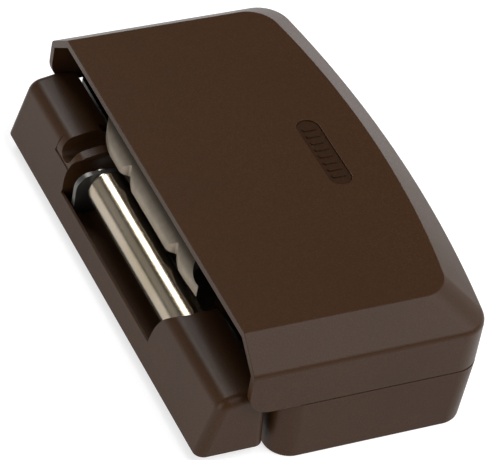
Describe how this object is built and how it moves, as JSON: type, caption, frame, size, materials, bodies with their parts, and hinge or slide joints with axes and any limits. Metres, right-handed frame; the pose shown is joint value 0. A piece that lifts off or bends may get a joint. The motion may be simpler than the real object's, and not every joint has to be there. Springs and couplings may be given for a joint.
{
  "type": "hinge-side window lock",
  "caption": "Surface window lock for the hinge side: brown overhanging casing with a toothed claw over a spinning steel bar in a narrow keeper that swings with the frame.",
  "frame": {"origin": "centre of the box that holds the whole lock, at the height of the mounting faces", "axes": "+Z away from the window, +Y along the bar and the long side, +X from the keeper towards the bowed side of the cover"},
  "size_m": [0.0744, 0.1214, 0.034],
  "materials": {
    "casing_brown": "satin, dark brown powder coat",
    "badge_brown": "satin, darker brown",
    "bar_steel": "bright ground steel, nickel plated",
    "claw_steel": "satin warm grey, tumbled",
    "frame_steel": "zinc plated sheet",
    "chassis_steel": "zinc plated plate",
    "jaw_steel": "hardened, dark",
    "fastener_steel": "bright zinc",
    "spring_steel": "drawn wire",
    "spacer_black": "moulded, matt"
  },
  "bodies": {
    "lock_body": {"base_housing": "casing_brown", "chassis": "chassis_steel", "lower_jaw": "jaw_steel", "jaw_screws": "fastener_steel", "chassis_screws": "fastener_steel", "claw_pin": "fastener_steel", "claw_pin_clip": "spring_steel", "claw_washers": "fastener_steel", "claw_springs": "spring_steel", "spring_guides": "fastener_steel", "claw_stop": "fastener_steel", "cover_clips": "spring_steel", "clip_screws": "fastener_steel"},
    "cover": {"cover": "casing_brown", "cover_badge": "badge_brown"},
    "claw": {"claw": "claw_steel", "spring_cups": "fastener_steel"},
    "keeper": {"keeper_housing": "casing_brown", "keeper_frame": "frame_steel", "bar_axle": "fastener_steel", "axle_clip": "spring_steel", "bar_collars": "fastener_steel", "keeper_spacer": "spacer_black", "keeper_clips": "spring_steel", "clip_rivets": "fastener_steel"},
    "bar": {"keeper_bar": "bar_steel"}
  },
  "joints": [
    {"name": "keeper_swing", "type": "hinge", "parent": "lock_body", "child": "keeper", "pos_m": [-0.027, 0, 0.014], "axis": [0, 1, 0], "range_deg": [0, 90]},
    {"name": "bar_spin", "type": "hinge", "parent": "keeper", "child": "bar", "pos_m": [-0.027, 0, 0.014], "axis": [0, 1, 0], "continuous": true},
    {"name": "claw_pivot", "type": "hinge", "parent": "lock_body", "child": "claw", "pos_m": [-0.005, 0, 0.024], "axis": [0, 1, 0], "range_deg": [0, 8], "stiffness_Nm_per_rad": 0.6, "springref_deg": -20.05, "deforming": ["claw_springs"]},
    {"name": "cover_lift", "type": "slide", "parent": "lock_body", "child": "cover", "axis": [0, 0, 1], "range_m": [0, 0.045]}
  ]
}
